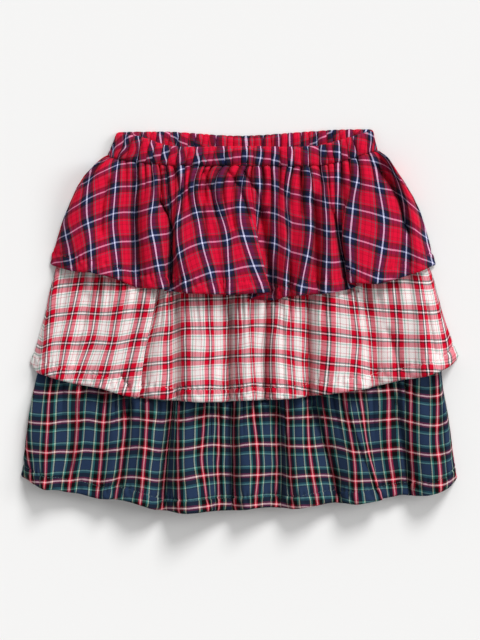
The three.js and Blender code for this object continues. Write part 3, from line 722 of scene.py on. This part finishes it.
def stitches(name, points, colour, thick):
    """A row of sewn stitches along the hem, each a short rounded thread that lies on the cloth."""
    line, faces = hem_line(points)
    run = np.concatenate([[0], np.cumsum(np.linalg.norm(np.diff(line, axis=0), axis=1))])
    shape = bmesh.new()
    count = int(run[-1] / STITCH_STEP)
    for number in range(count):
        ends = [number * STITCH_STEP, number * STITCH_STEP + STITCH_LONG]
        a, b = (Vector([np.interp(end, run, line[:, k]) for k in range(3)]) for end in ends)
        face = Vector([np.interp(ends[0], run, faces[:, k]) for k in range(3)]).normalized()
        along = (b - a).normalized()
        turn = Matrix((along, face.cross(along), face)).transposed().to_4x4()
        middle = (a + b) / 2 + face * (thick / 2 + STITCH_RISE)
        made = bmesh.ops.create_icosphere(shape, subdivisions=1, radius=0.5)
        size = Matrix.Diagonal((STITCH_LONG * 1.1, THREAD, THREAD, 1))
        place = Matrix.Scale(MM, 4) @ Matrix.Translation(middle) @ turn @ size
        bmesh.ops.transform(shape, matrix=place, verts=made["verts"])
    mesh = bpy.data.meshes.new(name)
    shape.to_mesh(mesh)
    shape.free()
    row = bpy.data.objects.new(name, mesh)
    bpy.context.scene.collection.objects.link(row)
    mesh.materials.append(plain_material(name, shade(*colour), 0.7))
    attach(row, "root")
    return row


def cloth_piece(name, points, plaids, material, node, thick, turned=False):
    """A piece of cloth that takes the place of a solid, as a thin shell round its grid of points."""
    mesh = cloth_mesh(name, points, plaids, turned)
    piece = bpy.data.objects.new(name, mesh)
    bpy.context.scene.collection.objects.link(piece)
    mesh.materials.append(material)
    solid = piece.modifiers.new("cloth", "SOLIDIFY")
    solid.thickness = thick * MM
    solid.offset = 0
    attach(piece, "root")
    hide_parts(node)
    return piece


def ridge(phase):
    """A gather across its width: a round ridge at each whole number with a narrow valley between."""
    return abs(math.cos(math.pi * phase))


def casing_half(down):
    """Half the casing's thickness: round at its fold, flat over the elastic, pinched at its stitches."""
    full = CASING_THICK / 2 - CLOTH_THICK / 2
    top = math.sqrt(max(0.0, 1 - (1 - min(1, down / 0.13)) ** 2))
    pinch = smooth((1 - down) / 0.1)
    return full * top * mix(0.3, 1, pinch)


def casing_lines(x, front):
    """The casing's top, its stitch line and the height of its middle, on the front or the back."""
    if front:
        return waist_line(x, FRONT_TOP), waist_line(x, FRONT_SEAM), mouth_height(x)
    top = waist_line(x, BACK_TOP)
    return top, top - CASING_DEPTH, BACK_CASING_Z


def casing_point(share, turn, front, gather_deep):
    """A point of the casing and its plaid. Turn runs from 1 to -1, up its outer face and down inside."""
    outer = turn > 0
    down = abs(turn) ** 1.25
    left = mix(TOP_LEFT, SEAM_LEFT, down)
    right = mix(TOP_RIGHT, SEAM_RIGHT, down)
    x = mix(left, right, share)
    from_side = min(x - left, right - x)
    fade = smooth(from_side / CASING_FADE)
    phase = gather_phase(share) + 0.22 * rough(x / 11, down * 1.3, 4 if front else 9)
    crown = ridge(phase) - 0.22
    strength = fade * mix(0.35, 1, smooth(down / 0.25)) * mix(0.55, 1, smooth((1 - down) / 0.2))
    lift = gather_deep * crown * strength
    bulge = CASING_BULGE * strength * math.sin(TAU * phase)
    top, seam, middle = casing_lines(x, front)
    corner = min(1.0, max(0.0, 1 - from_side / CORNER))
    top -= CORNER * (1 - math.sqrt(1 - corner ** 2)) * 0.8
    y = mix(top + 0.6 * crown * fade, seam + 0.5 * crown * fade, down)
    side = 1 if outer == front else -1
    if not front and side < 0:
        lift = min(0, lift) * 0.2
    z = middle + side * (casing_half(down) + max(-CASING_HOLLOW, lift))
    return (x + bulge, y, z), casing_plaid(x, y, seam, down, front)


def casing_grid(front, gather_deep):
    """The casing is one strip folded over its elastic."""
    columns, rows = CASING_COLUMNS, CASING_ROWS
    points = np.zeros((columns + 1, rows + 1, 3))
    plaids = np.zeros((columns + 1, rows + 1, 2))
    for i in range(columns + 1):
        for j in range(rows + 1):
            points[i, j], plaids[i, j] = casing_point(i / columns, 1 - 2 * j / rows, front, gather_deep)
    return points, plaids


def casing_plaid(x, y, seam, down, front):
    """The casing's plaid coordinates. At its stitches the front's lines meet the top tier's."""
    if front:
        upper = read_table(FRONT_WARP, 1, x)
        lower = read_table(TOP_FOLDS, CLOTH, min(SEAM_RIGHT, max(SEAM_LEFT, x)), X0)
        warp = mix(upper, lower, smooth((down - 0.4) / 0.6))
        return warp, read_table(TOP_WEFT, 1, warp) - TOP_DEPTH - (y - seam) / REPEAT
    line_y = 152 + 25.6 * ((x - 8) / 75) ** 2
    return read_table(BACK_WARP, 1, x), 1 + (line_y - y) / REPEAT


def back_hem(name, x):
    """The Y of a back panel's hem."""
    half, side_y, drop = BACK_HEMS[name]
    return side_y - drop * (1 - min(1, abs(x) / half) ** HEM_ROUND)


def back_edges(folds, down):
    """The left and right edges of a back panel, just inside those of its front."""
    first, last = folds[0], folds[-1]
    left = read_levels([first[c] for c in (X0, X1, X2, X3)], down) + SIDE_INSET
    right = read_levels([last[c] for c in (X0, X1, X2, X3)], down) - SIDE_INSET
    return left, right


def top_back_point(share, down):
    """A point of the top tier's back, gathered below the waistband."""
    left, right = back_edges(TOP_FOLDS, down)
    x = mix(left, right, share)
    seam = waist_line(x, BACK_TOP) - CASING_DEPTH - SEAM_GAP
    away = smooth(BACK_FADE * min(share, 1 - share))
    phase = gather_phase(share)
    reach = 0.4 + 0.25 * abs(math.sin(round(phase) * 1.9))
    wave = BACK_GATHER * (1 - smooth(down / reach)) * away
    z = FLAT_Z + wave * (1 + math.cos(TAU * phase)) * 0.9
    return x, mix(seam, back_hem("top", x), down ** 1.5), z


def lower_back_point(tier, above, own):
    """Where a lower tier's back lies: on the surface, and at its top on the back above it."""
    def place(share, down):
        left, right = back_edges(tier.folds, down)
        x = mix(left, right, share)
        y = mix(tier.top_edge(x), back_hem(own, x), down)
        past = y - back_hem(above, x)
        over = smooth((past + 5) / 4)
        ruffle = RUFFLE_DEEP * (0.5 + 0.5 * math.sin(TAU * share * RUFFLES + 2 * math.sin(share * 17)))
        ruffle *= (1 - over) * smooth(BACK_FADE * min(share, 1 - share))
        ruffle *= 1 - smooth((past + 45) / -40)
        return x, y, mix(FLAT_Z, SECOND_Z, over) + max(0, ruffle)

    return place


def back_grid(place, weft, first, last):
    """Places and plaid coordinates of a back panel, from its weft line and the warps at its sides."""
    columns, rows = BACK_COLUMNS, BACK_ROWS
    points = np.zeros((columns + 1, rows + 1, 3))
    plaids = np.zeros((columns + 1, rows + 1, 2))
    for i in range(columns + 1):
        share = i / columns
        for j in range(rows + 1):
            points[i, j] = place(share, j / rows)
        low = points[i, rows, 1]
        for j in range(rows + 1):
            warp = mix(first, last, share)
            plaids[i, j] = warp, weft + 0.5 * math.sin(share * 5) - (points[i, j, 1] - low) / REPEAT
    return points, plaids


def shade(red, green, blue):
    """Linear colour of three screen values from 0 to 255."""
    def linear(v):
        v /= 255
        return v / 12.92 if v <= 0.04045 else ((v + 0.055) / 1.055) ** 2.4

    return linear(red), linear(green), linear(blue), 1.0


# A band is its outer edge, in repeats from the middle of the pale line, with the colour of its
# threads. The bands are mirrored about that line, and the weft has the warp's unless it has its
# own. Where two bands cross, the threads' colours mix: mixing 1 is an even mix, and less lets the
# dark ones rule. Warp is the warp threads' share of the face, more than half as the weave is a
# twill, and line is what the threads of the first line_bands bands take on top of their share.
PLAIDS = {
    "red_plaid": {
        "mixing": 0.47, "warp": 0.6, "line": 0.08, "line_bands": 1,
        "bands": [
            (0.027, (222, 220, 250)), (0.135, (24, 30, 66)), (0.222, (36, 26, 32)),
            (0.262, (192, 14, 48)), (0.298, (118, 82, 88)), (0.39, (200, 13, 48)),
            (0.4235, (166, 13, 43)), (0.5, (212, 15, 52)),
        ],
    },
    "white_plaid": {
        "mixing": 0.55, "warp": 0.54, "line": 0.05, "line_bands": 2,
        "bands": [
            (0.023, (240, 234, 232)), (0.076, (38, 26, 30)), (0.224, (196, 4, 38)),
            (0.268, (228, 220, 218)), (0.302, (92, 148, 134)), (0.38, (228, 220, 218)),
            (0.405, (198, 114, 122)), (0.5, (229, 222, 220)),
        ],
    },
    "navy_plaid": {
        "mixing": 0.55, "warp": 0.56, "line": 0.14, "line_bands": 1,
        "bands": [
            (0.025, (244, 150, 156)), (0.078, (184, 16, 44)), (0.2136, (9, 8, 10)),
            (0.272, (34, 102, 96)), (0.316, (184, 192, 168)), (0.335, (9, 8, 10)),
            (0.5, (34, 50, 76)),
        ],
        "weft_bands": [
            (0.024, (255, 196, 198)), (0.078, (128, 14, 38)), (0.2136, (9, 8, 10)),
            (0.272, (30, 84, 82)), (0.316, (112, 166, 156)), (0.335, (9, 8, 10)),
            (0.5, (34, 50, 76)),
        ],
    },
}

# Colours of the hems' sewing threads
THREADS = {"red_plaid": (150, 14, 40), "white_plaid": (236, 228, 224), "navy_plaid": (84, 104, 104)}


def wire(tree, kind, inputs=(), **settings):
    """A node with its settings, and its inputs given as values or as other nodes' outputs."""
    node = tree.nodes.new(kind)
    for name, value in settings.items():
        setattr(node, name, value)
    for key, value in inputs:
        if isinstance(value, bpy.types.NodeSocket):
            tree.links.new(value, node.inputs[key])
        else:
            node.inputs[key].default_value = value
    return node


def sums(tree, operation, *values):
    node = wire(tree, "ShaderNodeMath", list(enumerate(values)), operation=operation)
    return node.outputs[0]


def blend_colours(tree, kind, cover, below, above):
    """Two colours blended, with the upper one's cover from 0 to 1."""
    inputs = [(0, cover), (6, below), (7, above)]
    return wire(tree, "ShaderNodeMix", inputs, data_type="RGBA", blend_type=kind).outputs[2]


def colour_power(tree, colour, power):
    return wire(tree, "ShaderNodeGamma", [(0, colour), (1, power)]).outputs[0]


def band_ramp(tree, bands, away):
    """The bands' colours at a distance from the pale line, given in half repeats."""
    node = wire(tree, "ShaderNodeValToRGB", [(0, away)])
    ramp = node.color_ramp
    ramp.interpolation = "CONSTANT"
    while len(ramp.elements) < len(bands):
        ramp.elements.new(0.5)
    start = 0.0
    for element, (outer, colour) in zip(ramp.elements, bands):
        element.position = start
        element.color = shade(*colour)
        start = outer * 2
    return node.outputs[0]


def plaid_colour(tree, plaid, place):
    """The plaid's colour at a place of its cloth, with slightly fuzzy edges to the bands."""
    split = wire(tree, "ShaderNodeSeparateXYZ", [(0, place)])
    fuzz = wire(tree, "ShaderNodeTexNoise", [("Vector", place), ("Scale", 1400.0), ("Detail", 2.0)])
    stray = sums(tree, "MULTIPLY", sums(tree, "SUBTRACT", fuzz.outputs[0], 0.5), 0.022)
    aways = []
    for axis in (0, 1):
        repeats = sums(tree, "DIVIDE", split.outputs[axis], REPEAT * MM)
        fold = sums(tree, "PINGPONG", sums(tree, "ADD", repeats, stray), 0.5)
        aways.append(sums(tree, "MULTIPLY", fold, 2.0))
    warp = band_ramp(tree, plaid["bands"], aways[0])
    weft = band_ramp(tree, plaid.get("weft_bands", plaid["bands"]), aways[1])
    roots = [colour_power(tree, threads, plaid["mixing"]) for threads in (warp, weft)]
    line_edge = 2 * plaid["bands"][plaid["line_bands"] - 1][0]
    warp_line, weft_line = (sums(tree, "LESS_THAN", away, line_edge) for away in aways)
    more_weft = sums(tree, "MULTIPLY", sums(tree, "SUBTRACT", weft_line, warp_line), plaid["line"])
    cover = sums(tree, "ADD", more_weft, 1 - plaid["warp"])
    return colour_power(tree, blend_colours(tree, "MIX", cover, *roots), 1 / plaid["mixing"])


def twill(tree, place):
    """Fine diagonal ribs of the weave."""
    turned = wire(tree, "ShaderNodeMapping", [("Vector", place), ("Rotation", (0, 0, math.radians(52)))])
    return wire(tree, "ShaderNodeTexWave", [
        ("Vector", turned.outputs[0]), ("Scale", 230.0), ("Distortion", 1.6), ("Detail", 2.0),
        ("Detail Scale", 2.0),
    ], wave_type="BANDS").outputs[1]


def cloth_material(name, nap):
    """Brushed cotton in one of the plaids: bands and lines, twill ribs, nap and uneven dye."""
    plaid = PLAIDS[name]
    made = bpy.data.materials.new(name + "_cotton")
    made.use_nodes = True
    tree = made.node_tree
    tree.nodes.clear()
    place = wire(tree, "ShaderNodeUVMap", uv_map="plaid").outputs[0]
    colour = plaid_colour(tree, plaid, place)
    ribs = twill(tree, place)
    wear = wire(tree, "ShaderNodeTexNoise", [("Vector", place), ("Scale", 45.0), ("Detail", 3.0)])
    fluff = wire(tree, "ShaderNodeTexNoise", [("Vector", place), ("Scale", 900.0), ("Detail", 3.0)])
    light = sums(tree, "MULTIPLY", fluff.outputs[0], 0.3)
    light = sums(tree, "ADD", sums(tree, "MULTIPLY", ribs, 0.1), light)
    light = sums(tree, "ADD", sums(tree, "MULTIPLY", wear.outputs[0], 0.14), light)
    light = sums(tree, "ADD", light, 0.74)
    grey = wire(tree, "ShaderNodeCombineColor", [(0, light), (1, light), (2, light)]).outputs[0]
    colour = blend_colours(tree, "MULTIPLY", 1.0, colour, grey)
    relief = sums(tree, "ADD", ribs, sums(tree, "MULTIPLY", fluff.outputs[0], 1.5))
    bump = wire(tree, "ShaderNodeBump", [("Height", relief), ("Strength", 0.35), ("Distance", 0.00025)])
    skin = wire(tree, "ShaderNodeBsdfPrincipled", [
        ("Base Color", colour), ("Roughness", 0.93), ("Normal", bump.outputs[0]),
        ("Specular IOR Level", 0.06), ("Sheen Weight", nap), ("Sheen Roughness", 0.6),
    ])
    out = tree.nodes.new("ShaderNodeOutputMaterial")
    tree.links.new(skin.outputs[0], out.inputs[0])
    made.diffuse_color = shade(*plaid["bands"][-1][1])
    return made


def plain_material(name, colour, roughness):
    made = bpy.data.materials.new(name)
    made.use_nodes = True
    skin = made.node_tree.nodes["Principled BSDF"]
    skin.inputs["Base Color"].default_value = colour
    skin.inputs["Roughness"].default_value = roughness
    return made


# Settings that a user would change

class SkirtCloth(bpy.types.PropertyGroup):
    thickness: bpy.props.FloatProperty(
        name="Cloth thickness", description="Thickness of one layer of the brushed cotton",
        default=CLOTH_THICK * MM, min=0.0002, max=0.003, unit="LENGTH")
    gather_depth: bpy.props.FloatProperty(
        name="Gather depth", description="How far the waistband's gathers stand up",
        default=4.2 * MM, min=0, max=0.006, unit="LENGTH")
    softness: bpy.props.FloatProperty(
        name="Softness", description="Height of the small dents that handling leaves in the cloth",
        default=0.8 * MM, min=0, max=0.002, unit="LENGTH")
    nap: bpy.props.FloatProperty(
        name="Nap", description="Strength of the sheen of the brushed face",
        default=0.02, min=0, max=1, subtype="FACTOR")


class SkirtStage(bpy.types.PropertyGroup):
    floor_colour: bpy.props.FloatVectorProperty(
        name="Floor colour", description="Colour of the surface that the skirt lies on",
        default=(0.86, 0.857, 0.85), size=3, min=0, max=1, subtype="COLOR")
    key_strength: bpy.props.FloatProperty(
        name="Key light", description="Strength of the main light, from the top and the right",
        default=2.3, min=0, max=20)
    key_height: bpy.props.FloatProperty(
        name="Light height", description="Height of both lights over the surface, as an angle",
        default=math.radians(36), min=0.05, max=1.57, subtype="ANGLE")
    side_strength: bpy.props.FloatProperty(
        name="Side light", description="Strength of the soft light from the right",
        default=0.95, min=0, max=20)
    fill_strength: bpy.props.FloatProperty(
        name="Fill light", description="Strength of the even light from all round",
        default=0.457, min=0, max=10)
    lens: bpy.props.FloatProperty(
        name="Lens", description="Focal length of the camera in millimetres",
        default=200, min=20, max=400)


def cloth_settings(context):
    return context.scene.skirt_cloth


def material_for(context, name):
    found = bpy.data.materials.get(name + "_cotton")
    return found or cloth_material(name, cloth_settings(context).nap)


def front_piece(context, name, tier, place, plaid, rows, slot, seed):
    """A front panel with its creases, dents and hem, kept under the tier over it, and its stitches."""
    points, plaids = front_grid(tier, place, plaid, FRONT_COLUMNS, rows)
    deep = deepened(points, tier.more, tier.early)
    points[:, :, 2] = deep + points[:, :, 3] + crease_relief(points, tier.creases)
    points = points[:, :, :3]
    relief = soft_relief(plaids, seed, cloth_settings(context).softness / MM)
    relief += hem_relief(points, plaids, seed)
    points = points + facing(points) * relief[:, :, None]
    if tier.over is not None:
        room = tier.over.under[cell_of(points)] - LAYER_ROOM
        points[:, :, 2] = np.minimum(points[:, :, 2], room)
    points[:, :, 2] = np.maximum(points[:, :, 2], SECOND_Z)
    tier.under = underside(points)
    thick = cloth_settings(context).thickness / MM
    made = material_for(context, slot)
    piece = cloth_piece(name + "_cloth", points, plaids, made, name, thick)
    return piece, stitches(name + "_stitches", points, THREADS[slot], thick)


def back_piece(context, name, place, lines, slot):
    """A back panel, whose face is turned down to the surface."""
    points, plaids = back_grid(place, *lines)
    thick = cloth_settings(context).thickness / MM
    made = material_for(context, slot)
    return cloth_piece(name + "_cloth", points, plaids, made, name, thick, turned=True)


class MakeWaistband(bpy.types.Operator):
    """Make the waistband, a casing turned over an elastic, front and back"""
    bl_idname = "skirt.waistband"
    bl_label = "Waistband"

    def execute(self, context):
        deep = cloth_settings(context).gather_depth / MM
        thick = cloth_settings(context).thickness / MM
        for node, front in (("waistband_front", True), ("waistband_back", False)):
            points, plaids = casing_grid(front, deep if front else 0.8 * deep)
            made = material_for(context, "red_plaid")
            cloth_piece(node + "_cloth", points, plaids, made, node, thick)
        return {"FINISHED"}


class MakeTopTier(bpy.types.Operator):
    """Make the top tier, cut in one with the waistband's casing, front and back"""
    bl_idname = "skirt.top_tier"
    bl_label = "Top tier"

    def execute(self, context):
        front, row = front_piece(context, "top_tier_front", TOP, top_point, top_plaid, TOP_ROWS,
                                 "red_plaid", 1)
        back = back_piece(context, "top_tier_back", top_back_point, BACK_PLAID["top"], "red_plaid")
        casing = [bpy.data.objects[name + "_cloth"] for name in ("waistband_front", "waistband_back")]
        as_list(casing[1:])
        return {"FINISHED"}


class MakeMiddleTier(bpy.types.Operator):
    """Make the middle tier, gathered to the inside of the top tier, front and back"""
    bl_idname = "skirt.middle_tier"
    bl_label = "Middle tier"

    def execute(self, context):
        plaid = lower_plaid(MIDDLE, 1.25, 0.5, 0.33)

        def place(*spot):
            return lower_point(MIDDLE, *spot)

        front, row = front_piece(context, "middle_tier_front", MIDDLE, place, plaid, LOWER_ROWS,
                                 "white_plaid", 2)
        under = lower_back_point(MIDDLE, "top", "middle")
        back = back_piece(context, "middle_tier_back", under, BACK_PLAID["middle"], "white_plaid")
        return {"FINISHED"}


class MakeBottomTier(bpy.types.Operator):
    """Make the bottom tier, gathered to the inside of the middle tier, front and back"""
    bl_idname = "skirt.bottom_tier"
    bl_label = "Bottom tier"

    def execute(self, context):
        plaid = lower_plaid(BOTTOM, 1.25, 0.3)

        def place(*spot):
            return lower_point(BOTTOM, *spot)

        front, row = front_piece(context, "bottom_tier_front", BOTTOM, place, plaid, LOWER_ROWS,
                                 "navy_plaid", 3)
        under = lower_back_point(BOTTOM, "middle", "bottom")
        back = back_piece(context, "bottom_tier_back", under, BACK_PLAID["bottom"], "navy_plaid")
        return {"FINISHED"}


def add_light(context, name, strength, spread, travel, high):
    """A studio light so far away that it lights the whole stage alike. A wide spread is a soft light."""
    lamp = bpy.data.lights.new(name, "SUN")
    lamp.energy = strength
    lamp.angle = math.radians(spread)
    holder = bpy.data.objects.new(name, lamp)
    along = Vector((*travel, 0)).normalized() * math.cos(high) - Vector((0, 0, math.sin(high)))
    holder.rotation_euler = along.to_track_quat("-Z", "Y").to_euler()
    context.scene.collection.objects.link(holder)


class MakeStage(bpy.types.Operator):
    """Make the pale floor, the lights and the camera straight above"""
    bl_idname = "skirt.stage"
    bl_label = "Stage"

    def execute(self, context):
        settings = context.scene.skirt_stage
        shape = bmesh.new()
        bmesh.ops.create_grid(shape, x_segments=1, y_segments=1, size=3)
        bmesh.ops.translate(shape, verts=shape.verts[:], vec=(0, 0, -0.0003))
        mesh = bpy.data.meshes.new("floor")
        shape.to_mesh(mesh)
        shape.free()
        floor = bpy.data.objects.new("floor", mesh)
        context.scene.collection.objects.link(floor)
        mesh.materials.append(plain_material("floor", (*settings.floor_colour, 1), 0.9))
        floor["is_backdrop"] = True
        high = settings.key_height
        add_light(context, "key", settings.key_strength, KEY_SPREAD, KEY_TRAVEL, high)
        add_light(context, "side", settings.side_strength, SIDE_SPREAD, SIDE_TRAVEL, high)
        world = bpy.data.worlds.new("studio")
        world.use_nodes = True
        sky = world.node_tree.nodes["Background"]
        sky.inputs[0].default_value = (1, 1, 1, 1)
        sky.inputs[1].default_value = settings.fill_strength
        context.scene.world = world
        view = bpy.data.cameras.new("camera")
        view.lens = settings.lens
        view.clip_end = 50
        camera = bpy.data.objects.new("camera", view)
        far = VIEW_HIGH * PIXEL * settings.lens / view.sensor_width + CLOTH_LEVEL
        camera.location = (0, VIEW_MIDDLE_Y, far)
        context.scene.collection.objects.link(camera)
        context.scene.camera = camera
        context.scene.view_settings.view_transform = "Standard"
        return {"FINISHED"}


class SkirtPanel(bpy.types.Panel):
    """Lists the skirt's pieces and settings"""
    bl_idname = "VIEW3D_PT_skirt"
    bl_label = "Tiered ruffle skirt"
    bl_space_type = "VIEW_3D"
    bl_region_type = "UI"
    bl_category = "Skirt"

    def draw(self, context):
        for maker in MAKERS:
            self.layout.operator(maker.bl_idname)
        for settings in (context.scene.skirt_cloth, context.scene.skirt_stage):
            for name in settings.__annotations__:
                self.layout.prop(settings, name)


MAKERS = (MakeWaistband, MakeTopTier, MakeMiddleTier, MakeBottomTier, MakeStage)
CLASSES = (SkirtCloth, SkirtStage, *MAKERS, SkirtPanel)


def register():
    for made in CLASSES:
        bpy.utils.register_class(made)
    bpy.types.Scene.skirt_cloth = bpy.props.PointerProperty(type=SkirtCloth)
    bpy.types.Scene.skirt_stage = bpy.props.PointerProperty(type=SkirtStage)


def unregister():
    del bpy.types.Scene.skirt_stage
    del bpy.types.Scene.skirt_cloth
    for made in reversed(CLASSES):
        bpy.utils.unregister_class(made)


def main():
    register()
    bpy.ops.skirt.waistband()
    bpy.ops.skirt.top_tier()
    bpy.ops.skirt.middle_tier()
    bpy.ops.skirt.bottom_tier()
    bpy.ops.skirt.stage()
    boxes = {"cad": CAD_BOX, "visual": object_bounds()}
    {name: [list(corner) for corner in box] for name, box in boxes.items()}


if __name__ == "__main__":
    main()
